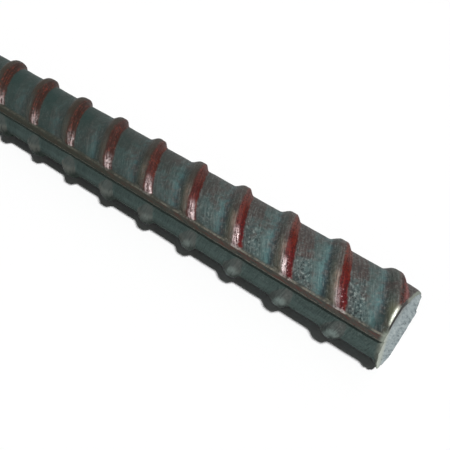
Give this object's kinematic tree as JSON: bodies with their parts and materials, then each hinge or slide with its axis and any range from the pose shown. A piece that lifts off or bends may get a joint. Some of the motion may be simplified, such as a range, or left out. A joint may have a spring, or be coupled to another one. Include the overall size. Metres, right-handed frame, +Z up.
{
  "type": "reinforcing bar",
  "caption": "Straight hot-rolled deformed bar of round section with seam ribs along its sides and square cut ends, for reinforcing concrete.",
  "frame": {"origin": "on the bar's axis at mid-length", "axes": "+X along the bar towards the end that the picture shows, +Z up as the bar lies"},
  "size_m": [0.6, 0.024, 0.024],
  "materials": {
    "rolled_steel": "hot-rolled, dark blue-green mill scale with red-brown rust on the ribs"
  },
  "bodies": {
    "root": {"reinforcing_bar": "rolled_steel"}
  },
  "joints": []
}
